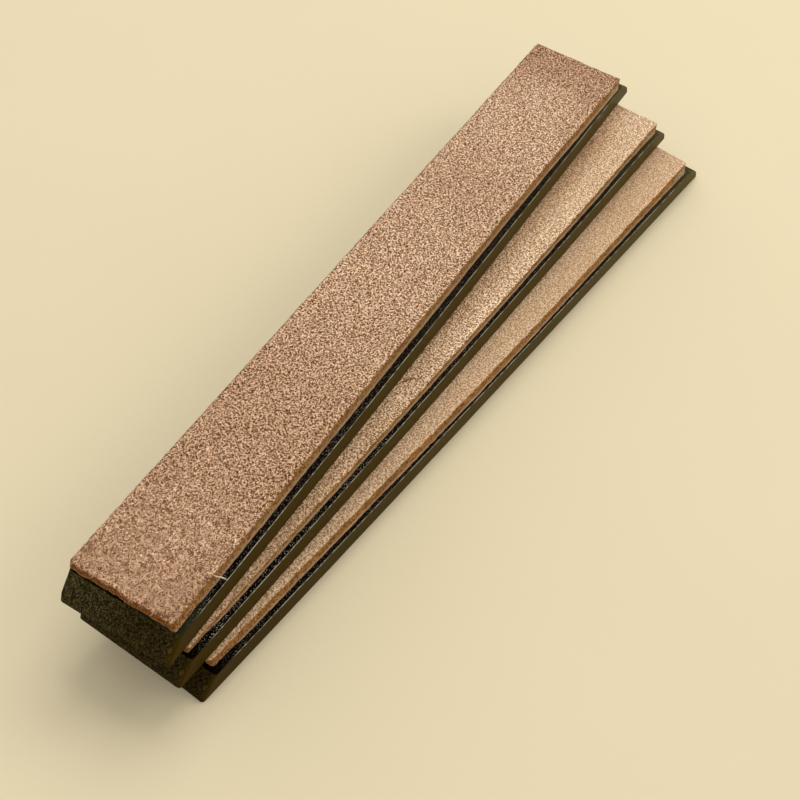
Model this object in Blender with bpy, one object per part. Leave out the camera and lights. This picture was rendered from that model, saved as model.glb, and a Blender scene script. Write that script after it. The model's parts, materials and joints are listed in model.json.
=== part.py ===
"""Three honing strops for a clamp-guided knife sharpener, stacked flat and fanned by hand.

Each strop is a black moulded plastic bar with sloping ends, a layer of double-sided tape
and a strip of split leather with its nap side up.

Metres, +Z up. The origin is the centre of the bottom strop's underside, and +X runs along
the bottom strop, towards the end where the fan opens.
"""

import math

import bmesh
import bpy
from mathutils import Vector

# Plastic bar
BAR_LENGTH = 0.160
BAR_WIDTH = 0.020
BAR_HEIGHT = 0.0048
END_LAND = 0.0010  # upright foot of each end, below the slope
NEAR_SLOPE_RUN = 0.00305  # how far the near end leans in, foot to top
FAR_SLOPE_RUN = 0.0054
BAR_CORNER_RADIUS = 0.0006
BAR_EDGE_RADIUS = 0.00025

# Tape and leather, with the small gaps that keep glued and resting layers apart
GLUE_GAP = 0.0002
REST_GAP = 0.0003
TAPE_THICKNESS = 0.0006
TAPE_INSET = 0.0003  # tape edge behind the leather edge
LEATHER_THICKNESS = 0.0017
LEATHER_WIDTH = 0.0187
LEATHER_NEAR_INSET = 0.0030  # from the bar's foot; level with the top of the near slope
LEATHER_CORNER_RADIUS = 0.0011
LEATHER_EDGE_RADIUS = 0.00025

CORNER_STEPS = 5
STRIP_CORNER_STEPS = 5
EDGE_STEPS = 2

TAPE_FLOOR = BAR_HEIGHT + GLUE_GAP
LEATHER_FLOOR = TAPE_FLOOR + TAPE_THICKNESS + GLUE_GAP
STROP_PITCH = LEATHER_FLOOR + LEATHER_THICKNESS + REST_GAP

# name: centre of the underside (x, y), turn in degrees, leather length, leather centre (y)
STROPS = {
    "bottom_strop": ((0.0, 0.0), 0.0, 0.1502, -0.0001),
    "middle_strop": ((-0.0035, 0.0050), 2.5, 0.1507, -0.0001),
    "top_strop": ((-0.0055, 0.0105), 6.0, 0.1499, 0.0002),
}


def clear_scene():
    for item in list(bpy.data.objects):
        bpy.data.objects.remove(item, do_unlink=True)


def make_material(name, colour, roughness):
    material = bpy.data.materials.new(name)
    material.use_nodes = True
    shader = material.node_tree.nodes["Principled BSDF"]
    shader.inputs["Base Color"].default_value = (*colour, 1.0)
    shader.inputs["Roughness"].default_value = roughness
    shader.inputs["Metallic"].default_value = 0.0
    return material


def add_object(name, mesh, material, parent):
    piece = bpy.data.objects.new(name, mesh)
    bpy.context.collection.objects.link(piece)
    piece.data.materials.append(material)
    piece.parent = parent
    piece.data.shade_smooth()
    piece.data.set_sharp_from_angle(angle=math.radians(35))
    return piece


def round_edges(piece, radius):
    """Soften every sharp edge, leaving the shallow facets of the rounded corners alone."""
    modifier = piece.modifiers.new("soft_edges", "BEVEL")
    modifier.width = radius
    modifier.segments = EDGE_STEPS
    modifier.limit_method = "ANGLE"
    modifier.angle_limit = math.radians(40)


def extruded(outline, direction):
    """A closed body from a flat outline, pushed along direction."""
    body = bmesh.new()
    face = body.faces.new([body.verts.new(point) for point in outline])
    grown = bmesh.ops.extrude_face_region(body, geom=[face])
    moved = [item for item in grown["geom"] if isinstance(item, bmesh.types.BMVert)]
    bmesh.ops.translate(body, verts=moved, vec=direction)
    bmesh.ops.recalc_face_normals(body, faces=body.faces)
    return body


def round_corners(body, picked, radius, steps):
    bmesh.ops.bevel(
        body,
        geom=picked,
        offset=radius,
        offset_type="OFFSET",
        segments=steps,
        profile=0.5,
        affect="EDGES",
        clamp_overlap=True,
    )


def finished_mesh(name, body):
    mesh = bpy.data.meshes.new(name)
    body.to_mesh(mesh)
    body.free()
    return mesh


def bar_mesh():
    """The plastic bar: a side profile pushed across the width, with its four corners rounded."""
    half = BAR_LENGTH / 2
    side = -BAR_WIDTH / 2
    outline = [
        Vector((-half, side, 0.0)),
        Vector((half, side, 0.0)),
        Vector((half, side, END_LAND)),
        Vector((half - FAR_SLOPE_RUN, side, BAR_HEIGHT)),
        Vector((-half + NEAR_SLOPE_RUN, side, BAR_HEIGHT)),
        Vector((-half, side, END_LAND)),
    ]
    body = extruded(outline, Vector((0.0, BAR_WIDTH, 0.0)))
    corner_edges = [edge for edge in body.edges if is_bar_corner(edge)]
    round_corners(body, corner_edges, BAR_CORNER_RADIUS, CORNER_STEPS)
    return finished_mesh("bar", body)


def is_bar_corner(edge):
    """True for the edges that climb an end of the bar: the foot and the slope, on both sides."""
    low, high = sorted(vert.co.z for vert in edge.verts)
    across = abs(edge.verts[0].co.y - edge.verts[1].co.y)
    return high - low > END_LAND / 2 and across < BAR_WIDTH / 2


def strip_mesh(name, length, width, thickness, radius):
    """A flat strip with rounded corners, lying on Z = 0 and centred on the origin."""
    outline = [
        Vector((x * length / 2, y * width / 2, 0.0))
        for x, y in ((-1, -1), (1, -1), (1, 1), (-1, 1))
    ]
    body = extruded(outline, Vector((0.0, 0.0, thickness)))
    upright = [edge for edge in body.edges if abs(edge.verts[0].co.z - edge.verts[1].co.z) > thickness / 2]
    round_corners(body, upright, radius, STRIP_CORNER_STEPS)
    return finished_mesh(name, body)


def strop_frame(name, level, centre, turn):
    """An empty at the centre of a strop's underside; the strop lifts off along its Z."""
    frame = bpy.data.objects.new(name + "_frame", None)
    bpy.context.collection.objects.link(frame)
    frame.empty_display_size = 0.01
    frame.location = (*centre, level * STROP_PITCH)
    frame.rotation_euler = (0.0, 0.0, math.radians(turn))
    return frame


def build_strop(name, level, centre, turn, leather_length, leather_y, materials):
    frame = strop_frame(name, level, centre, turn)
    bar = add_object(name + "_base", bar_mesh(), materials["plastic"], frame)
    round_edges(bar, BAR_EDGE_RADIUS)

    leather_x = -BAR_LENGTH / 2 + LEATHER_NEAR_INSET + leather_length / 2
    tape = strip_mesh(
        "tape",
        leather_length - 2 * TAPE_INSET,
        LEATHER_WIDTH - 2 * TAPE_INSET,
        TAPE_THICKNESS,
        LEATHER_CORNER_RADIUS - TAPE_INSET,
    )
    tape_piece = add_object(name + "_adhesive", tape, materials["tape"], frame)
    tape_piece.location = (leather_x, leather_y, TAPE_FLOOR)

    leather = strip_mesh(
        "leather",
        leather_length,
        LEATHER_WIDTH,
        LEATHER_THICKNESS,
        LEATHER_CORNER_RADIUS,
    )
    leather_piece = add_object(name + "_leather", leather, materials["leather"], frame)
    leather_piece.location = (leather_x, leather_y, LEATHER_FLOOR)
    round_edges(leather_piece, LEATHER_EDGE_RADIUS)


def main():
    clear_scene()
    materials = {
        "plastic": make_material("black_plastic", (0.018, 0.016, 0.012), 0.55),
        "tape": make_material("adhesive_tape", (0.55, 0.40, 0.27), 0.6),
        "leather": make_material("nap_leather", (0.46, 0.28, 0.17), 0.9),
    }
    for level, (name, (centre, turn, length, leather_y)) in enumerate(STROPS.items()):
        build_strop(name, level, centre, turn, length, leather_y, materials)


main()
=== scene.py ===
"""The looks of a fanned set of three honing strops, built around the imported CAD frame."""

import json
import math

import bpy
import numpy as np
from mathutils import Matrix, Vector


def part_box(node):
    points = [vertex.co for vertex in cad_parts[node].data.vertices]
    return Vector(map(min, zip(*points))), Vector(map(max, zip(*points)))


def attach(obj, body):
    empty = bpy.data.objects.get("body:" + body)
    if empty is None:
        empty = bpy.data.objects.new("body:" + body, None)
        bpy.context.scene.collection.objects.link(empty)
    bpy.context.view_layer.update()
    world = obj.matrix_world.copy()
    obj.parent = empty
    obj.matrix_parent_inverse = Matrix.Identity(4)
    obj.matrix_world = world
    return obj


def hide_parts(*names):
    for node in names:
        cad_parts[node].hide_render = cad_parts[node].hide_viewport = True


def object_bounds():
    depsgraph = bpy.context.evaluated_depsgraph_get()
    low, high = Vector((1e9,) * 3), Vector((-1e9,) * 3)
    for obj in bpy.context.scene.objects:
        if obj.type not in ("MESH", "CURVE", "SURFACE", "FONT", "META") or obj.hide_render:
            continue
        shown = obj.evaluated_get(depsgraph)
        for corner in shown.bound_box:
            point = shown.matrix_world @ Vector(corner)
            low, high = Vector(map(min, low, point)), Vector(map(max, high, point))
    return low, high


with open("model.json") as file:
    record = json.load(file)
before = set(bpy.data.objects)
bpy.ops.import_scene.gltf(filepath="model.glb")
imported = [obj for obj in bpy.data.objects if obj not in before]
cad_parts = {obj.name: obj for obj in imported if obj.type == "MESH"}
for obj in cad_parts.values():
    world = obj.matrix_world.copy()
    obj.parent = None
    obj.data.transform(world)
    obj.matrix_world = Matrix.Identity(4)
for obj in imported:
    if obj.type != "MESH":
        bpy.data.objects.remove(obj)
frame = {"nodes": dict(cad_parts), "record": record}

MM = 0.001
STROPS = ("bottom_strop", "middle_strop", "top_strop")
cad_low, cad_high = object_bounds()


# ---------------------------------------------------------------- places read from the frame

def mount_point(name):
    mount = next(m for m in frame["record"]["mounts"] if m["name"] == name)
    return Vector(mount["pos_m"])


def box_in(matrix, node):
    """Lowest and highest corner of a CAD node in the given frame."""
    inverse = matrix.inverted()
    points = np.array([inverse @ v.co for v in frame["nodes"][node].data.vertices])
    return points.min(axis=0), points.max(axis=0)


def strop_matrix(strop):
    """A strop's own frame: X from its near end to its far end, Z up, origin under its middle."""
    side = strop.split("_")[0]
    along = mount_point(side + "_far_clamp_face") - mount_point(side + "_near_clamp_face")
    turn = Matrix.Rotation(math.atan2(along.y, along.x), 4, "Z")
    low, high = box_in(turn, strop + "_base")
    middle = Vector(((low[0] + high[0]) / 2, (low[1] + high[1]) / 2, low[2]))
    return Matrix.Translation(turn @ middle) @ turn


def right_side_of_bar_above(strop):
    """The line where the next bar's right side crosses this strop: its y at x = 0, and its slope."""
    above = STROPS[min(STROPS.index(strop) + 1, len(STROPS) - 1)]
    side = box_in(strop_matrix(above), above + "_base")[0][1]
    across = strop_matrix(strop).inverted() @ strop_matrix(above)
    start, ahead = across @ Vector((0, side, 0)), across @ Vector((10 * MM, side, 0))
    slope = (ahead.y - start.y) / (ahead.x - start.x)
    return start.y - slope * start.x, slope


# ---------------------------------------------------------------- meshes

def smooth_noise(u, v, size, seed):
    """Smooth random values from -1 to 1 over a plane, in lumps about size across."""
    table = np.random.default_rng(seed).uniform(-1, 1, (256, 256))
    u, v = np.broadcast_arrays(np.asarray(u) / size, np.asarray(v) / size)
    i, j = np.floor(u).astype(int), np.floor(v).astype(int)
    s, t = u - i, v - j
    s, t = s * s * (3 - 2 * s), t * t * (3 - 2 * t)
    i, j, right, up = i % 256, j % 256, (i + 1) % 256, (j + 1) % 256
    low = table[i, j] * (1 - s) + table[right, j] * s
    high = table[i, up] * (1 - s) + table[right, up] * s
    return low * (1 - t) + high * t


def fade(value, start, end):
    """0 at start, 1 at end, with a soft start and end."""
    share = np.clip((value - start) / (end - start), 0, 1)
    return share * share * (3 - 2 * share)


def eased(value, points):
    """Runs smoothly through a few (place, value) points, and stays level beyond them."""
    result = np.full(np.shape(value), float(points[0][1]))
    for (start, low), (end, high) in zip(points, points[1:]):
        result = result + (high - low) * fade(value, start, end)
    return result


class Body:
    """Collects the points and faces of one closed body, and the masks that its material reads."""

    def __init__(self):
        self.points, self.faces, self.masks = [], [], {}
        self.count = 0

    def add_points(self, points, **masks):
        """Adds an (n, 3) array and returns the new indices."""
        self.points.append(points)
        for name, value in masks.items():
            self.masks.setdefault(name, []).append(np.broadcast_to(value, len(points)))
        first = self.count
        self.count += len(points)
        return np.arange(first, self.count)

    def wall(self, upper, lower):
        """Quads between two closed rings that run the same way, counter-clockwise from above."""
        after_upper, after_lower = np.roll(upper, -1), np.roll(lower, -1)
        self.faces += np.stack([upper, lower, after_lower, after_upper], axis=1).tolist()

    def cap(self, ring, sides, facing_up):
        """Closes a ring with quads across its width; sides is the number of points of a long side."""
        long_side, short_side = sides
        right = ring[:long_side]
        left = ring[long_side + short_side:2 * long_side + short_side][::-1]
        far = ring[long_side:long_side + short_side]
        near = ring[2 * long_side + short_side:]
        faces = [
            [right[i], right[i + 1], left[i + 1], left[i]] for i in range(1, long_side - 2)
        ]
        faces.append([right[-2], right[-1], *far, left[-1], left[-2]])
        faces.append([left[1], left[0], *near, right[0], right[1]])
        if not facing_up:
            faces = [face[::-1] for face in faces]
        self.faces += [[int(i) for i in face] for face in faces]

    def make(self, name, matrix, material):
        mesh = bpy.data.meshes.new(name)
        mesh.from_pydata(np.concatenate(self.points), [], self.faces)
        for mask, values in self.masks.items():
            attribute = mesh.attributes.new(mask, "FLOAT", "POINT")
            attribute.data.foreach_set("value", np.concatenate(values).astype(np.float32))
        mesh.shade_smooth()
        piece = bpy.data.objects.new(name, mesh)
        bpy.context.scene.collection.objects.link(piece)
        piece.matrix_world = matrix
        piece.data.materials.append(material)
        return piece


def place(piece, strop, slot, *nodes):
    """Rides a piece on its strop, and hides the CAD nodes that it stands for."""
    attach(piece, strop)
    if nodes:
        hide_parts(*nodes)


# ---------------------------------------------------------------- plastic bar

BAR_SIDE_POINTS = 320
BAR_END_POINTS = 42
BAR_CORNER_POINTS = 8
BAR_CORNER_RADIUS = 0.6 * MM
FOOT_ROUNDING = 0.10 * MM
TOP_ROUNDING = 0.12 * MM
SHARP_ANGLE = math.radians(32)
RIPPLE = 0.02 * MM  # unevenness of the walls

# How far each bar's middle bows out to its right, and how far the sides lean out towards their tops.
BOW = {"bottom_strop": 0.12 * MM, "middle_strop": 0.18 * MM, "top_strop": 0.24 * MM}
LEAN = 0.10 * MM

# A scraped patch on the right side of the top bar: its middle along the bar, its height and its size.
SCRAPE_ALONG, SCRAPE_HEIGHT = 64.5 * MM, 3.6 * MM
SCRAPE_LENGTH, SCRAPE_DEPTH = 1.6 * MM, 0.9 * MM

# How far the grain takes to reach its full strength: in from a side, and up to the top.
GRAIN_REACH, TOP_GRAIN_REACH = 0.8 * MM, 0.1 * MM

# Per bar: how much painted shade darkens and browns its near end, left and right, and how strongly
# painted glints show on its ledge, near and far. Then where each of them changes from the one to
# the other.
END_SHADE = {"bottom_strop": (1.0, 1.0), "middle_strop": (0.60, 0.80), "top_strop": (0.0, 0.68)}
LEDGE_GLINTS = {"bottom_strop": (0.35, 0.2), "middle_strop": (1.0, 0.3), "top_strop": (0.55, 0.25)}
END_SHADE_SPAN = (8 * MM, -4 * MM)
LEDGE_GLINT_SPAN = (-60 * MM, 40 * MM)

# The top bar's ledge is worn more and more between these places, and all the way from there to its
# near right corner.
WORN_CORNER_SPAN = (-69 * MM, -74 * MM)


def rounded_outline(low, high, radius):
    """Points round a rounded rectangle, counter-clockwise, starting along the right side."""
    (x0, y0), (x1, y1) = low, high
    along = np.linspace(x0 + radius, x1 - radius, BAR_SIDE_POINTS)
    across = np.linspace(y0 + radius, y1 - radius, BAR_END_POINTS)
    turn = np.linspace(0, math.pi / 2, BAR_CORNER_POINTS + 2)[1:-1]

    def corner(x, y, start):
        return np.stack([x + radius * np.cos(start + turn), y + radius * np.sin(start + turn)], axis=1)

    def line(x, y):
        return np.stack(np.broadcast_arrays(x, y), axis=1)

    return np.concatenate([
        line(along, y0),
        corner(x1 - radius, y0 + radius, -math.pi / 2),
        line(x1, across),
        corner(x1 - radius, y1 - radius, 0),
        line(along[::-1], y1),
        corner(x0 + radius, y1 - radius, math.pi / 2),
        line(x0, across[::-1]),
        corner(x0 + radius, y0 + radius, math.pi),
    ])


def bar_profile(height, near_run, far_run, land):
    """(height, inset at the near end, inset at the far end, inset of the sides, and the edge mask for
    nicks and a painted highlight) of each ring.
    """
    rings = []
    for angle in np.linspace(0, math.pi / 2, 5):
        lift = FOOT_ROUNDING * (1 - math.cos(angle))
        back = FOOT_ROUNDING * (1 - math.sin(angle))
        rings.append((lift, back, back, back, 0.4 * math.sin(2 * angle)))
    for share in np.linspace(0, 1, 9)[1:-1]:
        z = land + share * (height - land)
        rings.append((z, share * near_run, share * far_run, -share * LEAN, 0.0))
    for angle in np.linspace(0, math.pi / 2, 6):
        drop = TOP_ROUNDING * (1 - math.sin(angle))
        back = TOP_ROUNDING * (1 - math.cos(angle))
        share = min((height - drop - land) / (height - land), 1.0)
        near_in, far_in = share * near_run + back, share * far_run + back
        rings.append((height - drop, near_in, far_in, back - LEAN, math.sin(2 * angle)))
    return sorted(rings, key=lambda ring: ring[0])


def bar_masks(strop, low, high, x, y, z, side_in, wear_and_highlight):
    """What the plastic's material reads along one ring of the bar's points."""
    is_top = strop == "top_strop"
    grain_at_ends = np.clip((high[1] - side_in - np.abs(y)) / GRAIN_REACH, 0, 1)
    grain_on_top = np.clip((z - high[2] + TOP_GRAIN_REACH) / TOP_GRAIN_REACH, 0, 1)
    scrape_x, scrape_z = (x - SCRAPE_ALONG) / SCRAPE_LENGTH, (z - SCRAPE_HEIGHT) / SCRAPE_DEPTH
    at_end = fade(np.abs(x), high[0] - 11 * MM, high[0] - 5 * MM)
    left_end_shade, right_end_shade = END_SHADE[strop]
    near_glints, far_glints = LEDGE_GLINTS[strop]
    painted_glints = near_glints + (far_glints - near_glints) * fade(x, *LEDGE_GLINT_SPAN)
    return dict(
        # where the edges carry a painted highlight
        wear_and_highlight=wear_and_highlight * (1 - at_end),
        grain=np.maximum(grain_at_ends, grain_on_top),
        scrape=np.exp(-(scrape_x ** 2) - scrape_z ** 2) * (y < 0) * is_top,
        ledge=float(z > high[2] - 0.05 * MM),
        far=np.clip(0.5 + 0.5 * x / high[0], 0, 1),
        # painted shade on the near end faces
        painted_end_shade=left_end_shade + (right_end_shade - left_end_shade) * fade(y, *END_SHADE_SPAN),
        # painted glints on the ledge
        painted_glints=painted_glints * fade(x, low[0] + 3 * MM, low[0] + 9 * MM),
        corner=is_top * fade(x, *WORN_CORNER_SPAN) * (y < 0),
        left=fade(y, -0.5 * high[1], 0.5 * high[1]),
    )


def make_bar(strop, matrix, seed, material):
    """The plastic bar. The record's clamp faces, halfway up its slopes, give the run of each slope."""
    node = strop + "_base"
    low, high = box_in(matrix, node)
    side = strop.split("_")[0]
    inverse = matrix.inverted()
    near = inverse @ mount_point(side + "_near_clamp_face")
    far = inverse @ mount_point(side + "_far_clamp_face")
    near_run, far_run = 2 * (near.x - low[0]), 2 * (high[0] - far.x)
    land = 2 * near.z - high[2]
    body = Body()
    previous = None
    for z, near_in, far_in, side_in, wear_and_highlight in bar_profile(high[2] - low[2], near_run, far_run, land):
        start = (low[0] + near_in, low[1] + side_in)
        end = (high[0] - far_in, high[1] - side_in)
        x, y = rounded_outline(start, end, BAR_CORNER_RADIUS).T
        ripple = RIPPLE * smooth_noise(x, y + 40 * z, 6 * MM, seed)
        ripple -= RIPPLE * wear_and_highlight * fade(smooth_noise(x, y, 1.1 * MM, seed + 1), 0.3, 0.9)
        bow = BOW[strop] * np.clip(1 - (x / high[0]) ** 2, 0, 1) * (1 - 0.35 * x / high[0])
        outward = np.sign(y) * (np.abs(y) > high[1] - side_in - 0.1 * MM)
        points = np.stack([x, y + outward * ripple - bow, np.full(len(x), z)], axis=1)
        ring = body.add_points(points, **bar_masks(strop, low, high, x, y, z, side_in, wear_and_highlight))
        sides = (BAR_SIDE_POINTS, len(ring) // 2 - BAR_SIDE_POINTS)
        if previous is None:
            body.cap(ring, sides, facing_up=False)
        else:
            body.wall(ring, previous)
        previous = ring
    body.cap(previous, sides, facing_up=True)
    piece = body.make(strop + "_bar", matrix, material)
    piece.data.set_sharp_from_angle(angle=SHARP_ANGLE)
    place(piece, strop, "black_plastic", node)


# ---------------------------------------------------------------- leather and tape

GRID = 0.22 * MM
CUT_RINGS = 10
TOP_MARGIN = 0.03 * MM
EDGE_REACH = 1.4 * MM  # how far in from an edge its wander moves the nap side
RIM_ROUNDING, RIM_DROP = 0.25 * MM, 0.06 * MM
CUT_REACH, CUT_AT_RIM = 0.30 * MM, 0.40  # how far in the cut edge's colour frays, and how much
PALE_END_SPAN = (66 * MM, 70.5 * MM)  # where the cut edges turn paler, towards the far end

# What makes each strip its own. A field "along the strip" is a few (x, value) points, with x in mm.
#   seed    the start of its noise
#   radii   of its corners, in mm: near right, far right, far left, near left
#   coarse  how open the nap is at the near end
#   drift   how far the right edge stands out, in mm, along the strip
#   foot    how far the foot of the cut edge stands out from its rim, in mm, along the strip
#   near    how far the near edge stands out, and its foot from its rim, in mm
#   shade   the tone of the nap, 1 for tan, 0 for mauve and browner below that, along the strip
#   crisp   how strongly its fibres stand out, along the strip
#   dull    how much painted shade darkens it beside the bar above, along the strip
#   marks   a centre (x, y), a turn in degrees, a length and a width in mm, and a depth from 1, a
#           dark groove, to -1, a pale ridge
LEATHER_SHAPES = {
    "bottom_strop": dict(
        seed=11,
        radii=(1.1, 0.6, 0.8, 0.8),
        coarse=0.20,
        drift=((-77.0, -0.55), (2.0, 0.08), (72.0, -0.42)),
        foot=((-60.0, 0.20), (60.0, 0.20)),
        near=(-0.25, -0.40),
        shade=((-55.0, 0.45), (-5.0, 0.85)),
        crisp=((-60.0, 0.75), (40.0, 0.62)),
        dull=((35.0, 0.0), (56.0, 0.7)),
        marks=(((-62.5, -7.8), 10, 0.7, 0.30, 1.0), ((18.0, -3.0), 60, 1.6, 0.20, 0.5)),
    ),
    "middle_strop": dict(
        seed=23,
        radii=(0.6, 0.3, 0.6, 0.8),
        coarse=0.45,
        drift=((-77.0, 0.0), (8.0, 0.27), (45.0, 0.08), (75.0, -0.24)),
        foot=(
            (-60.0, -0.33), (-38.0, -0.24), (15.0, -0.25), (42.0, -0.16),
            (62.0, -0.19), (67.0, -0.11), (72.0, 0.06),
        ),
        near=(0.0, -0.25),
        shade=((-56.0, -0.05), (-35.0, 0.25), (-20.0, 0.45), (2.0, 0.95)),
        crisp=((-60.0, 0.62), (-20.0, 0.84), (10.0, 0.84), (45.0, 0.62)),
        dull=((-22.0, 0.0), (2.0, 1.0), (55.0, 1.2), (70.0, 0.75)),
        marks=(
            ((-14.9, -7.0), -43, 4.0, 0.25, 1.0),
            ((-14.4, -7.5), -43, 3.0, 0.18, -0.5),
            ((59.5, -1.4), 25, 1.5, 0.22, 0.9),
        ),
    ),
    "top_strop": dict(
        seed=37,
        radii=(0.55, 0.15, 0.5, 0.45),
        coarse=1.00,
        drift=((-74.0, -0.10), (25.0, -0.14), (73.0, 0.44)),
        foot=((-76.0, 0.36), (-70.0, 0.16), (-62.0, 0.08)),
        near=(0.05, -0.03),
        shade=(
            (-76.0, -0.18), (-60.0, 0.16), (-40.0, 0.28), (-8.0, 0.68), (25.0, 0.68),
            (45.0, 0.92), (56.0, 0.80), (68.0, 0.20), (76.0, -0.45),
        ),
        crisp=((-74.0, 0.70), (-45.0, 1.0), (0.0, 1.05), (70.0, 1.08)),
        dull=((-75.0, 0.0), (75.0, 0.0)),
        marks=(
            ((-75.0, -0.8), 20, 0.9, 0.30, 0.9),
            ((-71.1, -4.3), -50, 2.4, 0.16, -0.9),
            ((-73.0, 2.2), 35, 1.4, 0.18, 0.8),
        ),
    ),
}

# The tape's edge, from its underside up: (share of its thickness, how far it stands out in mm)
TAPE_PROFILE = ((0.0, -0.06), (0.12, 0.02), (0.5, 0.0), (0.88, 0.03), (1.0, -0.03))


def round_off(x, y, corner, centre, radius):
    """Moves the points of one corner square onto the quarter disc inside it."""
    toward = np.sign(np.array(corner) - np.array(centre))
    a, b = (x - centre[0]) * toward[0] / radius, (y - centre[1]) * toward[1] / radius
    inside = (a > 0) & (b > 0)
    a, b = np.clip(a, 0, 1), np.clip(b, 0, 1)
    round_x = centre[0] + toward[0] * radius * a * np.sqrt(1 - b * b / 2)
    round_y = centre[1] + toward[1] * radius * b * np.sqrt(1 - a * a / 2)
    return np.where(inside, round_x, x), np.where(inside, round_y, y)


def edge_wander(place_along, seed):
    """How far a cut edge strays outwards along its length."""
    return MM * (
        0.04 * smooth_noise(place_along, 0.0, 14 * MM, seed)
        + 0.05 * smooth_noise(place_along, 0.0, 3.1 * MM, seed + 1)
        + 0.07 * smooth_noise(place_along, 0.0, 0.9 * MM, seed + 2)
        + 0.06 * smooth_noise(place_along, 0.0, 0.45 * MM, seed + 3)
    )


def cut_step(y, strop):
    """The knife's jog across the top strop's near edge: a step out, a nick and a lip at the corner."""
    if strop != "top_strop":
        return 0.0 * y
    step = 0.10 * fade(y, 0.4 * MM, -0.5 * MM)
    nick = 0.22 * np.exp(-(((y + 0.1 * MM) / (0.22 * MM)) ** 2))
    lip = 0.22 * np.exp(-(((y - 7.6 * MM) / (0.8 * MM)) ** 4))
    return MM * (step - nick + lip)


def mark_shape(x, y, mark):
    """A mark's depth along its middle, falling to 0 around it."""
    centre, degrees, length, width, depth = mark
    turn = math.radians(degrees)
    x, y = x / MM - centre[0], y / MM - centre[1]
    along, across = x * math.cos(turn) + y * math.sin(turn), y * math.cos(turn) - x * math.sin(turn)
    across = across + 0.05 * along * along
    return depth * np.exp(-((2 * along / length) ** 4) - (across / width) ** 2)


def openness_of(x, shape):
    """How loose and shaggy the nap is, most of all towards the near end."""
    return shape["coarse"] * (0.06 + 0.94 * fade(x, -44 * MM, -68 * MM))


def nap(x, y, shape):
    """Height of the nap in metres, with its crests near 0, and how light it is, about 0 to 1."""
    seed = shape["seed"]
    tufts = smooth_noise(x, y, 0.62 * MM, seed)
    threads = smooth_noise(x, y, 0.36 * MM, seed + 1)
    lumps = smooth_noise(x, y, 1.9 * MM, seed + 2)
    broad = smooth_noise(x, y, 9 * MM, seed + 3)
    openness = openness_of(x, shape)
    pits = fade(smooth_noise(x, y, 0.50 * MM, seed + 4), 0.35, 0.85) * (0.15 + 0.45 * openness)
    holes = fade(smooth_noise(x, y, 0.85 * MM, seed + 5), 0.36, 0.68)
    pits = np.maximum(pits, 1.1 * openness * holes)
    marks = sum(mark_shape(x, y, mark) for mark in shape["marks"])
    height = (0.015 + 0.03 * openness) * tufts + 0.030 * threads + 0.01 * lumps + 0.02 * broad
    height = height - 0.12 * pits - 0.16 * np.maximum(marks, 0) - 0.06 * np.minimum(marks, 0)
    level = 0.5 + (0.03 + 0.16 * openness) * tufts + 0.12 * threads - 0.42 * pits - 0.9 * marks
    return MM * (np.minimum(height, 0.10) - 0.10), level


def shade_of(x, y, shape):
    """Which tan a place is: 1 the pale one, 0 the mauve one, and darker brown below that; painted
    shade beside the bar above lowers it.
    """
    shade = 0.18 * smooth_noise(x, y, 12 * MM, shape["seed"] + 8)
    shade += 0.08 * smooth_noise(x, y, 3.5 * MM, shape["seed"] + 9)
    start, slope = shape["bar_above"]
    from_bar = start + slope * x - y
    # painted shade on the nap beside the bar above
    dull = eased(x / MM, shape["dull"]) * fade(from_bar, 5.4 * MM, 0.6 * MM)
    return shade * (1 + 1.5 * openness_of(x, shape)) + eased(x / MM, shape["shade"]) - dull


def beside(distance):
    """1 at an edge, falling to 0 over EDGE_REACH or so."""
    return np.exp(-((distance / EDGE_REACH) ** 2))


def leather_top(low, high, shape, strop):
    """The nap side as a grid: x, y and z, the distance to the nearest edge, and how light the nap is."""
    seed = shape["seed"]
    x_line = np.linspace(low[0], high[0], round((high[0] - low[0]) / GRID) + 1)
    y_line = np.linspace(low[1], high[1], round((high[1] - low[1]) / GRID) + 1)
    x, y = np.meshgrid(x_line, y_line, indexing="ij")
    distance = np.minimum(np.minimum(x - low[0], high[0] - x), np.minimum(y - low[1], high[1] - y))
    corners = ((low[0], low[1]), (high[0], low[1]), (high[0], high[1]), (low[0], high[1]))
    for corner, radius in zip(corners, shape["radii"]):
        radius *= MM
        centre = tuple(place + math.copysign(radius, -place) for place in corner)
        x, y = round_off(x, y, corner, centre, radius)
    right = edge_wander(x, seed + 20) + MM * eased(x / MM, shape["drift"])
    left = 0.5 * edge_wander(x, seed + 30)
    near = edge_wander(y, seed + 40) + cut_step(y, strop) + MM * shape["near"][0]
    far = edge_wander(y, seed + 50)
    new_y = y - right * beside(y - low[1]) + left * beside(high[1] - y)
    new_x = x - near * beside(x - low[0]) + far * beside(high[0] - x)
    rim = RIM_DROP * np.clip(1 - distance / RIM_ROUNDING, 0, 1) ** 2
    height, level = nap(new_x, new_y, shape)
    return new_x, new_y, high[2] - TOP_MARGIN + height - rim, distance, level


def border(grid):
    """The values round the edge of a grid, counter-clockwise, starting along the right side."""
    return np.concatenate([grid[:, 0], grid[-1, 1:-1], grid[::-1, -1], grid[0, -2:0:-1]])


def outward_of(points):
    """Unit vectors pointing out of a closed counter-clockwise ring, and the length along it."""
    after, before = np.roll(points, -1, axis=0), np.roll(points, 1, axis=0)
    tangent = after - before
    tangent /= np.linalg.norm(tangent, axis=1)[:, None]
    steps = np.linalg.norm(points - before, axis=1)
    return np.stack([tangent[:, 1], -tangent[:, 0]], axis=1), np.cumsum(steps)


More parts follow.
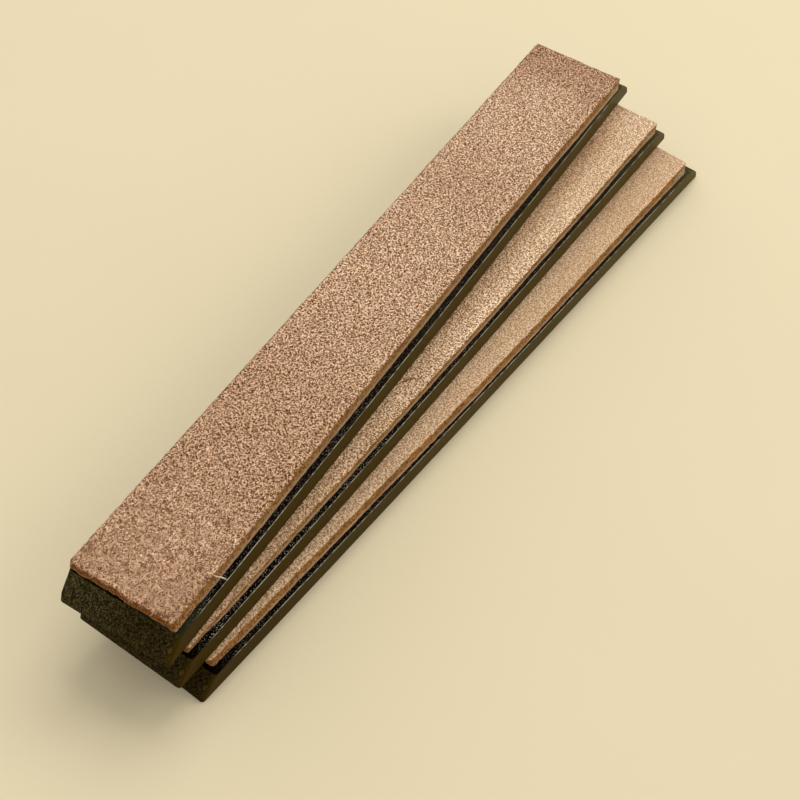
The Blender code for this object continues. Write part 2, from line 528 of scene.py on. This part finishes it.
def add_cut_edge(body, rim_index, rim, floor_z, shape):
    """The cut edge, in rings from the rim down. Returns the foot's indices and points."""
    seed = shape["seed"]
    flat, rim_height = rim[:, :2], rim[:, 2]
    x = flat[:, 0]
    outward, arc = outward_of(flat)
    facing_near = np.clip(-outward[:, 0], 0, 1) ** 2 * (x < 0)
    side_foot = eased(x / MM, shape["foot"])
    foot = side_foot + (shape["near"][1] - side_foot) * facing_near
    stray = edge_wander(x, seed + 20) * (outward[:, 1] < -0.7)
    masks = dict(
        arc=arc / MM,
        shade=shade_of(x, flat[:, 1], shape),
        crisp=1.0,
        open=0.0,
        # painted shade where the cut edge faces the near end
        front=facing_near,
        pale=fade(x, *PALE_END_SPAN),
    )
    previous = rim_index
    for step in range(1, CUT_RINGS + 1):
        share = (step / CUT_RINGS) ** 1.3
        height = rim_height * (1 - share) + floor_z * share
        swell = 0.03 * math.sin(math.pi * min(1.0, share * 3) / 2) + foot * fade(share, 0.30, 1.0)
        fibres = 0.05 * smooth_noise(arc, height * 5, 1.3 * MM, seed + 60)
        fibres += 0.06 * smooth_noise(arc, height * 3, 0.5 * MM, seed + 61)
        shift = MM * (swell + fibres * min(1.0, 4 * (1 - share) + 0.5))
        shift = shift - 0.85 * stray * fade(share, 0.1, 0.9)
        points = np.column_stack([flat + outward * shift[:, None], height])
        level = 0.5 + 0.4 * smooth_noise(arc, height * 2, 0.6 * MM, seed + 62)
        ring = body.add_points(points, cut=min(1.0, 0.55 + 3 * share), drop=share, level=level, **masks)
        body.wall(previous, ring)
        previous = ring
    return previous, points[:, :2]


def make_leather(strop, matrix, floor_z, top_z, shape, material):
    """The leather strip. Returns its box, its rim, its foot, and the number of points of its sides."""
    node = strop + "_leather"
    low, high = box_in(matrix, node)
    low[2], high[2] = floor_z, top_z
    x, y, z, distance, level = leather_top(low, high, shape, strop)
    rows, columns = x.shape
    sides = (rows, columns - 2)
    body = Body()
    top = body.add_points(
        np.stack([x.ravel(), y.ravel(), z.ravel()], axis=1),
        cut=CUT_AT_RIM * np.clip(1 - distance / CUT_REACH, 0, 1).ravel(),
        arc=0.0,
        drop=0.0,
        level=level.ravel(),
        shade=shade_of(x, y, shape).ravel(),
        crisp=eased(x / MM, shape["crisp"]).ravel(),
        open=openness_of(x, shape).ravel(),
        front=0.0,
        pale=0.0,
    )
    index = top.reshape(rows, columns)
    quads = np.stack([index[:-1, :-1], index[1:, :-1], index[1:, 1:], index[:-1, 1:]], axis=-1)
    body.faces += quads.reshape(-1, 4).tolist()
    rim = np.stack([border(x), border(y), border(z)], axis=1)
    foot_index, foot = add_cut_edge(body, border(index), rim, floor_z, shape)
    body.cap(foot_index, sides, facing_up=False)
    piece = body.make(strop + "_leather_strip", matrix, material)
    place(piece, strop, "nap_leather", node)
    return dict(low=low, high=high, rim=rim, foot=foot, sides=sides)


def make_tape(strop, matrix, floor_z, top_z, seed, leather, material):
    """The tape: its edge follows the foot of the leather, and bulges a little where it is pressed."""
    foot = leather["foot"]
    outward, arc = outward_of(foot)
    # At the near end the tape is set back, and painted shade darkens it there.
    soil = fade(foot[:, 0], -68 * MM, -74.5 * MM)
    body = Body()
    previous = None
    for share, out in TAPE_PROFILE:
        wander = 0.03 * smooth_noise(arc, 0.0, 5 * MM, seed)
        wander = wander + 0.03 * smooth_noise(arc, share * MM, 0.9 * MM, seed + 1)
        flat = foot + outward * (MM * (out + wander - 0.35 * soil))[:, None]
        z = floor_z + share * (top_z - floor_z)
        ring = body.add_points(np.column_stack([flat, np.full(len(flat), z)]), arc=arc / MM, soil=soil)
        if previous is None:
            body.cap(ring, leather["sides"], facing_up=False)
        else:
            body.wall(ring, previous)
        previous = ring
    body.cap(previous, leather["sides"], facing_up=True)
    piece = body.make(strop + "_tape", matrix, material)
    place(piece, strop, "adhesive_tape", strop + "_adhesive")


# ---------------------------------------------------------------- loose fibres of the nap

FIBRE_STEPS = 5
NAP_FIBRES = {"bottom_strop": 900, "middle_strop": 2200, "top_strop": 6000}
NAP_FIBRE_INSET = 0.8 * MM
RIM_FIBRES = 550

# One pale hair over the top strop's right ledge: points in that strop's frame, in mm, and its radius
STRAY_FIBRE = (
    (-67.6, -8.9, 7.8), (-67.3, -9.4, 7.4), (-66.5, -9.6, 6.2),
    (-65.95, -9.85, 5.3), (-65.8, -10.15, 5.0),
)
STRAY_FIBRE_RADIUS = 0.13 * MM
STRAY_FIBRE_TONE = 1.6  # above 1.1 a fibre turns straw-coloured


def curls(start, heading, length, bend):
    """Points of curved fibres on the level, as (fibre, step, xy)."""
    share = np.linspace(0, 1, FIBRE_STEPS)
    turned = heading[:, None] + bend[:, None] * (share[1:] - 0.5)
    step_length = (length / (FIBRE_STEPS - 1))[:, None, None]
    steps = np.stack([np.cos(turned), np.sin(turned)], axis=-1) * step_length
    paths = np.concatenate([np.zeros((len(start), 1, 2)), np.cumsum(steps, axis=1)], axis=1)
    return start[:, None, :] + paths


def add_tubes(body, paths, radius, tone):
    """Thin three-sided tubes, tapered to both ends, along (fibre, step, xyz) paths."""
    along = np.gradient(paths, axis=1)
    along /= np.linalg.norm(along, axis=2, keepdims=True)
    side = np.cross(along, (0.0, 0.0, 1.0))
    side /= np.linalg.norm(side, axis=2, keepdims=True) + 1e-9
    over = np.cross(side, along)
    taper = 1 - 0.7 * np.abs(np.linspace(-1, 1, FIBRE_STEPS)) ** 3
    turn = np.radians((90, 210, 330))[:, None]
    ring = side[:, :, None, :] * np.cos(turn) + over[:, :, None, :] * np.sin(turn)
    points = paths[:, :, None, :] + ring * (radius[:, None] * taper)[:, :, None, None]
    index = body.add_points(points.reshape(-1, 3), tone=np.repeat(tone, FIBRE_STEPS * len(turn)))
    index = index.reshape(len(paths), FIBRE_STEPS, len(turn))
    ahead = np.roll(index, -1, axis=2)
    walls = np.stack([index[:, :-1], ahead[:, :-1], ahead[:, 1:], index[:, 1:]], axis=-1)
    body.faces += walls.reshape(-1, 4).tolist()
    body.faces += index[:, 0, ::-1].tolist() + index[:, -1].tolist()


def add_nap_fibres(body, random, strop, low, high, shape):
    """Fibres that lie on the nap, longer and thicker where it is shaggy."""
    count, inset = NAP_FIBRES[strop], NAP_FIBRE_INSET
    share = random.random(count) ** (1.4 if strop == "top_strop" else 1.0)
    start = np.column_stack([
        low[0] + inset + share * (high[0] - low[0] - 2 * inset),
        random.uniform(low[1] + inset, high[1] - inset, count),
    ])
    shaggy = openness_of(start[:, 0], shape)
    length = random.uniform(0.5, 1.2, count) * (1 + 0.5 * shaggy) * MM
    heading = random.uniform(0, 2 * math.pi, count)
    flat = curls(start, heading, length, random.normal(0, 1.3 + 0.9 * shaggy, count))
    arch = 0.035 * MM * (1 - 2.2 * np.linspace(-1, 1, FIBRE_STEPS) ** 2)
    height = high[2] - TOP_MARGIN + nap(flat[..., 0], flat[..., 1], shape)[0] + arch
    radius = random.uniform(0.026, 0.050, count) * (1 + shaggy * random.random(count)) * MM
    height = np.minimum(height, high[2] - radius[:, None] - 0.005 * MM)
    add_tubes(body, np.concatenate([flat, height[..., None]], axis=2), radius, random.random(count))


def add_rim_fibres(body, random, rim):
    """Short fibres that stand out of the cut rim."""
    outward = outward_of(rim[:, :2])[0]
    picked = random.choice(len(rim), RIM_FIBRES)
    heading = np.arctan2(outward[picked, 1], outward[picked, 0]) + random.normal(0, 0.7, RIM_FIBRES)
    length = random.uniform(0.15, 0.42, RIM_FIBRES) * MM
    start = rim[picked, :2] - 0.05 * MM * outward[picked]
    flat = curls(start, heading, length, random.normal(0, 0.9, RIM_FIBRES))
    rise = random.uniform(-0.11, 0.02, RIM_FIBRES)[:, None] * MM * np.linspace(0, 1, FIBRE_STEPS)
    height = rim[picked, 2][:, None] - 0.03 * MM + rise
    radius = random.uniform(0.018, 0.032, RIM_FIBRES) * MM
    add_tubes(body, np.concatenate([flat, height[..., None]], axis=2), radius, random.random(RIM_FIBRES))


def make_fibres(strop, matrix, leather, shape, material):
    """All the loose fibres of one strip, as one piece."""
    random = np.random.default_rng(shape["seed"] + 70)
    body = Body()
    add_nap_fibres(body, random, strop, leather["low"], leather["high"], shape)
    add_rim_fibres(body, random, leather["rim"])
    if strop == "top_strop":
        stray = np.array([STRAY_FIBRE]) * MM
        add_tubes(body, stray, np.array([STRAY_FIBRE_RADIUS]), np.array([STRAY_FIBRE_TONE]))
    piece = body.make(strop + "_nap_fibres", matrix, material)
    place(piece, strop, "nap_leather")


# ---------------------------------------------------------------- materials

# Linear colours of the plastic. Pairs run from the near end to the far end.
# On the right walls the olive, paler towards the far end, is a painted reflection of the yellow floor
# and the leather beside them; the left walls are plain dark.
WALL_COLOURS = (0.0460, 0.0256, 0.0), (0.102, 0.0745, 0.0215)
WALL_SWIRL = (0.017, 0.0104, 0.0)
WALL_SCUFF = (0.12, 0.095, 0.030)
LEFT_WALL = (0.020, 0.0165, 0.0085)
# The end faces: dark hollows, with painted highlights on the bumps and raised creases of the grain
FACE_HOLLOW = (0.0130, 0.0105, 0.0036)
BUMP_HIGHLIGHT = (0.073, 0.059, 0.0195)
CREASE_HIGHLIGHT = (0.170, 0.146, 0.066)
# Painted shade on the near end faces
FACE_SHADE_FACTOR = (0.52, 0.40, 0.27)
LEDGE_COLOURS = (0.0020, 0.0011, 0.0006), (0.018, 0.0115, 0.0060)
LEDGE_TIP = (0.046, 0.040, 0.018)
LEDGE_CORNER = (0.024, 0.025, 0.013)
# Painted glints on the ledge's grain
PAINTED_GLINT = (0.40, 0.37, 0.30)
# The painted highlight along the bar's edges, near and far
EDGE_HIGHLIGHT_COLOURS = (0.56, 0.54, 0.44), (0.45, 0.43, 0.35)
SCRAPED = (0.22, 0.23, 0.17)

# Linear colours of the leather's cut edges, and factors that lighten or darken its nap
EDGE_STAIN = (0.270, 0.112, 0.014)
EDGE_STREAK = (0.54, 0.285, 0.065)
EDGE_FLECK = (0.105, 0.042, 0.010)
EDGE_FLESH = (0.44, 0.248, 0.130)
EDGE_PALE_END = (0.52, 0.350, 0.180)
EDGE_BURNT = (0.17, 0.070, 0.014)
# Painted shade on the cut edge where it faces the near end
FRONT_SHADE_FACTOR = (0.72, 0.51, 0.12)
NAP_BROWN_FACTOR = (0.66, 0.60, 0.54)
NAP_LIGHT_FACTOR = (1.85, 2.18, 2.66)
NAP_CURL_FACTOR = (1.55, 1.70, 1.92)
NAP_DARK_FACTOR = (0.23, 0.10, 0.0)
PALE_FIBRE_FACTOR = (1.35, 1.45, 1.62)
STRAW = (0.72, 0.62, 0.46)

# Linear colours of the tape and the floor
TAPE_COLOURS = (0.42, 0.26, 0.145), (0.53, 0.36, 0.22)
# Flecks on the tape, and the painted shade on it at the near end
TAPE_FLECK, TAPE_RECESS_SHADE = (0.26, 0.14, 0.065), (0.020, 0.012, 0.006)
FLOOR_COLOURS = (0.76, 0.67, 0.46), (0.80, 0.705, 0.485)


class Shader:
    """Builds one node material. Lengths in it are millimetres of the piece's own frame."""

    def __init__(self, name, **constants):
        self.material = bpy.data.materials.new(name)
        self.material.use_nodes = True
        self.tree = self.material.node_tree
        self.principled = self.tree.nodes["Principled BSDF"]
        for socket, value in constants.items():
            self.principled.inputs[socket.replace("_", " ")].default_value = value
        coordinates = self.node("TexCoord").outputs["Object"]
        self.place = self.vector_math("SCALE", coordinates, scale=1 / MM)

    def feed(self, socket, value):
        if isinstance(value, bpy.types.NodeSocket):
            self.tree.links.new(value, socket)
        else:
            socket.default_value = value

    def node(self, kind, **settings):
        made = self.tree.nodes.new("ShaderNode" + kind)
        for key, value in settings.items():
            setattr(made, key, value)
        return made

    def vector_math(self, operation, first, second=None, scale=None):
        made = self.node("VectorMath", operation=operation)
        self.feed(made.inputs[0], first)
        if second is not None:
            self.feed(made.inputs[1], second)
        if scale is not None:
            self.feed(made.inputs["Scale"], scale)
        return made.outputs[0]

    def math(self, operation, first, second=0.0):
        made = self.node("Math", operation=operation)
        self.feed(made.inputs[0], first)
        self.feed(made.inputs[1], second)
        return made.outputs[0]

    def times(self, first, second):
        return self.math("MULTIPLY", first, second)

    def plus(self, first, second):
        return self.math("ADD", first, second)

    def minus(self, first, second):
        return self.math("SUBTRACT", first, second)

    def attribute(self, name):
        return self.node("Attribute", attribute_name=name).outputs["Fac"]

    def noise(self, size, detail=2.0, roughness=0.5, distortion=0.0, stretch=(1, 1, 1), place=None):
        """Noise in lumps about size millimetres across, stretched along the piece's axes."""
        scaled = self.vector_math("DIVIDE", place or self.place, [size * s for s in stretch])
        made = self.node("TexNoise")
        self.feed(made.inputs["Vector"], scaled)
        self.feed(made.inputs["Scale"], 1.0)
        self.feed(made.inputs["Detail"], detail)
        self.feed(made.inputs["Roughness"], roughness)
        self.feed(made.inputs["Distortion"], distortion)
        return made.outputs["Fac"]

    def threads(self, size, detail, distortion, roughness=0.5):
        """Distance from winding lines about size millimetres apart: 0 on a line."""
        field = self.noise(size, detail=detail, roughness=roughness, distortion=distortion)
        return self.math("ABSOLUTE", self.minus(field, 0.5))

    def pores(self, spacing, width, core):
        """1 in the middle of small round pores in the piece's plan, 0 beyond width / 2 (millimetres)."""
        made = self.node("TexVoronoi", voronoi_dimensions="2D")
        self.feed(made.inputs["Vector"], self.place)
        self.feed(made.inputs["Scale"], 1 / spacing)
        return self.spread(made.outputs["Distance"], width / spacing, core / spacing)

    def spread(self, value, low, high):
        """0 at low, 1 at high, with a soft start and end."""
        made = self.node("MapRange", interpolation_type="SMOOTHSTEP")
        self.feed(made.inputs["Value"], value)
        self.feed(made.inputs["From Min"], low)
        self.feed(made.inputs["From Max"], high)
        return made.outputs["Result"]

    def mix(self, share, first, second, blend="MIX"):
        made = self.node("Mix", data_type="RGBA", blend_type=blend)
        for index, value in ((0, share), (6, first), (7, second)):
            if isinstance(value, tuple):
                value = (*value, 1.0)
            self.feed(made.inputs[index], value)
        return made.outputs[2]

    def bump(self, height, depth):
        """Bump from a height of 0 to 1 that is depth millimetres deep."""
        made = self.node("Bump")
        self.feed(made.inputs["Strength"], 1.0)
        self.feed(made.inputs["Distance"], depth * MM)
        self.feed(made.inputs["Height"], height)
        return made.outputs["Normal"]

    def finish(self, colour, roughness, normal):
        self.feed(self.principled.inputs["Base Color"], colour)
        self.feed(self.principled.inputs["Roughness"], roughness)
        self.feed(self.principled.inputs["Normal"], normal)
        return self.material


def scaled(colour, factors):
    return tuple(channel * factor for channel, factor in zip(colour, factors))


def wall_colour(shader, far, swirl):
    """The smooth sides: olive, paler towards the far end, with faint swirls and scuffs. The olive and
    the paling are a painted reflection; the left sides stay plain dark.
    """
    scuffs = shader.noise(1.4, detail=5, roughness=0.7, stretch=(5, 1, 1))
    wall = shader.mix(far, *WALL_COLOURS)
    wall = shader.mix(shader.times(swirl, 0.3), wall, WALL_SWIRL)
    wall = shader.mix(shader.times(shader.spread(scuffs, 0.58, 0.72), 0.12), wall, WALL_SCUFF)
    return shader.mix(shader.attribute("left"), wall, LEFT_WALL)


def end_face_colour(shader, pebble):
    """The sloping ends: black with a fine raised grain picked out in painted highlights, and browner
    with painted shade where they lie in each other's shade.
    """
    # painted highlights on the raised creases and bumps of the grain
    creases = shader.spread(shader.threads(0.66, detail=0.5, distortion=1.6), 0.060, 0.010)
    raised = shader.times(creases, shader.spread(pebble, 0.34, 0.56))
    face = shader.mix(shader.spread(pebble, 0.42, 0.68), FACE_HOLLOW, BUMP_HIGHLIGHT)
    face = shader.mix(shader.times(raised, 0.75), face, CREASE_HIGHLIGHT)
    return shader.mix(shader.attribute("painted_end_shade"), face, FACE_SHADE_FACTOR, blend="MULTIPLY")


def ledge_colour(shader, far):
    """The strip of the top beside the leather: deep black, with painted glints on specks of grain."""
    specks = shader.spread(shader.noise(0.19, detail=0.5), 0.63, 0.70)
    ledge = shader.mix(far, *LEDGE_COLOURS)
    ledge = shader.mix(shader.spread(far, 0.80, 0.97), ledge, LEDGE_TIP)
    ledge = shader.mix(shader.attribute("corner"), ledge, LEDGE_CORNER)
    return shader.mix(shader.times(specks, shader.attribute("painted_glints")), ledge, PAINTED_GLINT)


def plastic_material(name):
    """Black moulded plastic: finely grained on the top and the ends, smooth on the sides."""
    shader = Shader(name, IOR=1.5, Specular_Tint=(1.0, 0.80, 0.05, 1.0), Specular_IOR_Level=0.015)
    grained = shader.attribute("grain")
    far = shader.attribute("far")
    pebble = shader.noise(0.30, detail=1.0, distortion=1.0)
    swirl = shader.noise(7, detail=3)
    face = end_face_colour(shader, pebble)
    rough_skin = shader.mix(shader.attribute("ledge"), face, ledge_colour(shader, far))
    colour = shader.mix(grained, wall_colour(shader, far, swirl), rough_skin)
    # A painted highlight along the bar's top and foot edges, broken into dashes, fading near the ends.
    broken = shader.spread(shader.noise(0.62, detail=2, stretch=(1.9, 1, 1)), 0.40, 0.58)
    painted_edge_line = shader.times(shader.attribute("wear_and_highlight"), shader.plus(shader.times(broken, 0.72), 0.28))
    colour = shader.mix(painted_edge_line, colour, shader.mix(far, *EDGE_HIGHLIGHT_COLOURS))
    scratches = shader.spread(shader.noise(0.6, detail=4, roughness=0.7), 0.42, 0.62)
    scraped = shader.times(shader.attribute("scrape"), scratches)
    colour = shader.mix(shader.times(scraped, 0.9), colour, SCRAPED)
    roughness = shader.plus(shader.plus(shader.times(grained, 0.14), 0.36), shader.times(swirl, 0.10))
    relief = shader.plus(shader.plus(shader.times(grained, 0.94), 0.06), shader.times(scraped, 0.5))
    return shader.finish(colour, roughness, shader.bump(shader.times(pebble, relief), 0.16))


def cut_edge_colour(shader, orange, fleshy):
    """Golden brown leather with dark flecks, rosier towards its foot, and paler at the far end; darker
    with painted shade where it faces the near end.
    """
    along_edge = shader.node("CombineXYZ")
    shader.feed(along_edge.inputs["X"], shader.attribute("arc"))
    shader.feed(along_edge.inputs["Y"], shader.attribute("drop"))
    place = along_edge.outputs[0]
    streak = shader.noise(0.5, detail=3, roughness=0.65, stretch=(1.2, 0.50, 1), place=place)
    fleck = shader.noise(0.34, detail=1, stretch=(1.0, 0.9, 1), place=place)
    stain = shader.noise(3.0, detail=3, roughness=0.6, stretch=(1, 0.5, 1), place=place)
    colour = shader.mix(shader.spread(stain, 0.42, 0.60), EDGE_STAIN, orange)
    colour = shader.mix(shader.times(shader.spread(streak, 0.52, 0.64), 0.6), colour, EDGE_STREAK)
    flesh = shader.plus(shader.attribute("drop"), shader.times(streak, 1.1))
    colour = shader.mix(shader.times(shader.spread(flesh, 1.05, 1.35), fleshy), colour, EDGE_FLESH)
    raw = shader.times(shader.spread(flesh, 0.70, 1.15), shader.attribute("pale"))
    colour = shader.mix(shader.times(raw, 0.95), colour, EDGE_PALE_END)
    colour = shader.mix(shader.times(shader.spread(fleck, 0.52, 0.40), 0.85), colour, EDGE_FLECK)
    return shader.mix(shader.attribute("front"), colour, FRONT_SHADE_FACTOR, blend="MULTIPLY")


def nap_colour(shader, tan, mauve, contrast, fibre, curl, pores):
    """The nap: tan to mauve, with light and dark fibres, pale curls and dark pores."""
    shade = shader.attribute("shade")
    shaggy = shader.attribute("open")
    crisp = shader.times(shader.attribute("crisp"), contrast)
    fine = shader.noise(0.17, detail=0.0)
    clump = shader.noise(0.55, detail=1.5, roughness=0.6, distortion=0.8)
    colour = shader.mix(shader.spread(shade, 0.0, 1.0), mauve, tan)
    colour = shader.mix(shader.spread(shade, 0.05, -0.75), colour, NAP_BROWN_FACTOR, blend="MULTIPLY")
    level = shader.attribute("level")
    for noise, weight in ((fibre, 2.3), (fine, 2.7), (clump, shader.times(shaggy, 2.8))):
        level = shader.plus(level, shader.times(shader.minus(noise, 0.5), weight))
    level = shader.minus(level, shader.minus(shader.times(pores, 0.72), 0.14))
    light = shader.times(shader.spread(level, 0.50, 1.02), crisp)
    colour = shader.mix(light, colour, NAP_LIGHT_FACTOR, blend="MULTIPLY")
    dark = shader.times(shader.spread(level, 0.42, 0.00), crisp)
    colour = shader.mix(dark, colour, NAP_DARK_FACTOR, blend="MULTIPLY")
    curled = shader.times(shader.spread(curl, 0.040, 0.0), shader.plus(shaggy, 0.12))
    return shader.mix(shader.times(curled, contrast), colour, NAP_CURL_FACTOR, blend="MULTIPLY")


def leather_material(name, tan, mauve, contrast, orange, darkened, fleshy):
    """Split leather, nap side up: a fibrous, pitted face and brown cut edges."""
    shader = Shader(
        name,
        IOR=1.4,
        Sheen_Weight=0.06,
        Sheen_Roughness=0.6,
        Specular_IOR_Level=0.08,
        Specular_Tint=(1, 0.75, 0.4, 1),
    )
    fibre = shader.noise(0.25, detail=0.5, distortion=0.3)
    curl = shader.threads(0.75, detail=1.5, roughness=0.55, distortion=2.0)
    pores = shader.pores(0.50, 0.27, 0.06)
    colour = nap_colour(shader, tan, mauve, contrast, fibre, curl, pores)
    ragged = shader.plus(shader.attribute("cut"), shader.minus(fibre, 0.5))
    burnt = shader.times(shader.spread(ragged, 0.26, 0.44), darkened)
    colour = shader.mix(burnt, colour, EDGE_BURNT)
    edge = cut_edge_colour(shader, orange, fleshy)
    colour = shader.mix(shader.spread(ragged, 0.42, 0.56), colour, edge)
    relief = shader.plus(fibre, shader.times(shader.spread(curl, 0.06, 0.0), 0.3))
    relief = shader.minus(relief, shader.times(pores, 0.4))
    return shader.finish(colour, 0.95, shader.bump(relief, 0.11))


def fibre_material(name, tan):
    """Loose fibres, each of one tone from tan to pale, and straw for the stray hair."""
    shader = Shader(name, IOR=1.4, Sheen_Weight=0.2, Specular_IOR_Level=0.15)
    tone = shader.attribute("tone")
    fleck = shader.noise(0.3, detail=2)
    dull, dark = scaled(tan, (0.85, 0.85, 0.85)), scaled(tan, (0.7, 0.7, 0.7))
    colour = shader.mix(shader.spread(tone, 0.0, 0.9), dull, scaled(tan, PALE_FIBRE_FACTOR))
    colour = shader.mix(shader.spread(tone, 1.1, 1.5), colour, STRAW)
    colour = shader.mix(shader.times(shader.spread(fleck, 0.5, 0.3), 0.3), colour, dark)
    return shader.finish(colour, 0.85, shader.bump(fleck, 0.02))


def tape_material(name):
    """Tan tape, stained along its length and flecked, with painted shade at the near end, where it is
    set back.
    """
    shader = Shader(name, IOR=1.45, Specular_IOR_Level=0.3)
    along_edge = shader.node("CombineXYZ")
    shader.feed(along_edge.inputs["X"], shader.attribute("arc"))
    fleck = shader.noise(0.5, detail=3, roughness=0.6)
    stain = shader.noise(4, detail=3, place=along_edge.outputs[0])
    colour = shader.mix(shader.spread(stain, 0.35, 0.65), *TAPE_COLOURS)
    colour = shader.mix(shader.times(shader.spread(fleck, 0.5, 0.3), 0.5), colour, TAPE_FLECK)
    soil = shader.plus(shader.attribute("soil"), shader.times(fleck, 0.3))
    colour = shader.mix(shader.spread(soil, 0.35, 1.05), colour, TAPE_RECESS_SHADE)
    return shader.finish(colour, 0.6, shader.bump(fleck, 0.05))


def floor_material():
    shader = Shader("pale_floor", IOR=1.45, Specular_IOR_Level=0.2)
    colour = shader.mix(shader.noise(60, detail=3), *FLOOR_COLOURS)
    return shader.finish(colour, 0.75, shader.bump(shader.noise(0.8, detail=3), 0.02))


# ---------------------------------------------------------------- floor, light and camera

FLOOR_HALF = 1.5
FLOOR_GAP = 0.03 * MM

FOCAL_LENGTH_MM = 59.07
SENSOR_WIDTH_MM = 36.0
CLIP_START, CLIP_END = 0.01, 20.0
CAMERA_AZIMUTH = -1.039
CAMERA_ELEVATION = 0.905
CAMERA_ROLL = 0.140
CAMERA_DISTANCE = 0.2423
CAMERA_TARGET = Vector((-0.01251, 0.00234, 0.0))

# A broad key from the far end, and a weak window light for the right edges. Each has a direction from
# the camera's target, a distance and a width in metres, a power in watts and a colour.
LIGHTS = {
    "key": ((0.62, 0.12, 1.30), 0.9, 0.60, 3.0, (1.0, 0.97, 0.92)),
    "window": ((0.58, -0.48, 0.66), 1.0, 0.35, 1.0, (1.0, 0.98, 0.95)),
}
SKY_COLOUR = (1.0, 0.97, 0.92, 1.0)
SKY_STRENGTH = 0.70


def make_floor():
    mesh = bpy.data.meshes.new("floor")
    half, z = FLOOR_HALF, cad_low.z - FLOOR_GAP
    corners = [(-half, -half, z), (half, -half, z), (half, half, z), (-half, half, z)]
    mesh.from_pydata(corners, [], [(0, 1, 2, 3)])
    floor = bpy.data.objects.new("floor", mesh)
    bpy.context.scene.collection.objects.link(floor)
    floor.data.materials.append(floor_material())


def area_light(name, direction, distance, width, power, colour):
    light = bpy.data.lights.new(name, "AREA")
    light.shape = "DISK"
    light.size = width
    light.energy = power
    light.color = colour
    lamp = bpy.data.objects.new(name, light)
    bpy.context.scene.collection.objects.link(lamp)
    away = Vector(direction).normalized()
    lamp.location = CAMERA_TARGET + away * distance
    lamp.rotation_mode = "QUATERNION"
    lamp.rotation_quaternion = away.to_track_quat("Z", "Y")


def make_lights():
    """The two lamps, and an even sky."""
    for name, settings in LIGHTS.items():
        area_light(name, *settings)
    world = bpy.data.worlds.new("studio")
    world.use_nodes = True
    background = world.node_tree.nodes["Background"]
    background.inputs["Color"].default_value = SKY_COLOUR
    background.inputs["Strength"].default_value = SKY_STRENGTH
    bpy.context.scene.world = world


def make_camera():
    data = bpy.data.cameras.new("camera")
    data.lens = FOCAL_LENGTH_MM
    data.sensor_width = SENSOR_WIDTH_MM
    data.clip_start = CLIP_START
    data.clip_end = CLIP_END
    camera = bpy.data.objects.new("camera", data)
    bpy.context.scene.collection.objects.link(camera)
    level = math.cos(CAMERA_ELEVATION)
    back = Vector((
        math.sin(CAMERA_AZIMUTH) * level,
        -math.cos(CAMERA_AZIMUTH) * level,
        math.sin(CAMERA_ELEVATION),
    ))
    right = Vector((0, 0, 1)).cross(back).normalized()
    up = back.cross(right)
    tilt = Matrix((right, up, back)).transposed().to_4x4()
    roll = Matrix.Rotation(CAMERA_ROLL, 4, "Z")
    camera.matrix_world = Matrix.Translation(CAMERA_TARGET + back * CAMERA_DISTANCE) @ tilt @ roll
    bpy.context.scene.camera = camera


# ---------------------------------------------------------------- the set

# Per strop: linear colours of the paler and the darker, mauve tan; the contrast of the nap; the orange
# of the cut edge; how dark the knife left the rim; and how fleshy the foot of the cut edge is.
LEATHER_COLOURS = {
    "bottom_strop": dict(
        tan=(0.71, 0.474, 0.279),
        mauve=(0.61, 0.392, 0.222),
        contrast=0.72,
        orange=(0.44, 0.180, 0.028),
        darkened=0.20,
        fleshy=0.35,
    ),
    "middle_strop": dict(
        tan=(0.755, 0.517, 0.317),
        mauve=(0.56, 0.350, 0.190),
        contrast=1.00,
        orange=(0.37, 0.172, 0.030),
        darkened=0.15,
        fleshy=0.80,
    ),
    "top_strop": dict(
        tan=(0.590, 0.372, 0.220),
        mauve=(0.440, 0.246, 0.132),
        contrast=1.00,
        orange=(0.37, 0.172, 0.030),
        darkened=0.50,
        fleshy=0.85,
    ),
}
TAPE_BAND = 0.90 * MM  # the height of tape that shows between the bar and the leather


def make_strops():
    plastic = plastic_material("grained_black_plastic")
    tape = tape_material("double_sided_tape")
    pitch = (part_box("middle_strop_base")[0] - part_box("bottom_strop_base")[0]).z
    for strop in STROPS:
        colours = LEATHER_COLOURS[strop]
        leather = leather_material("nap_leather_of_" + strop, **colours)
        fibres = fibre_material("nap_fibres_of_" + strop, colours["tan"])
        matrix = strop_matrix(strop)
        shape = dict(LEATHER_SHAPES[strop], bar_above=right_side_of_bar_above(strop))
        bar_top = box_in(matrix, strop + "_base")[1][2]
        tape_top = bar_top + TAPE_BAND
        make_bar(strop, matrix, shape["seed"], plastic)
        strip = make_leather(strop, matrix, tape_top, pitch, shape, leather)
        make_tape(strop, matrix, bar_top, tape_top, shape["seed"] + 5, strip, tape)
        make_fibres(strop, matrix, strip, shape, fibres)


make_floor()
make_lights()
make_camera()
make_strops()
bpy.context.scene.view_settings.view_transform = "Standard"
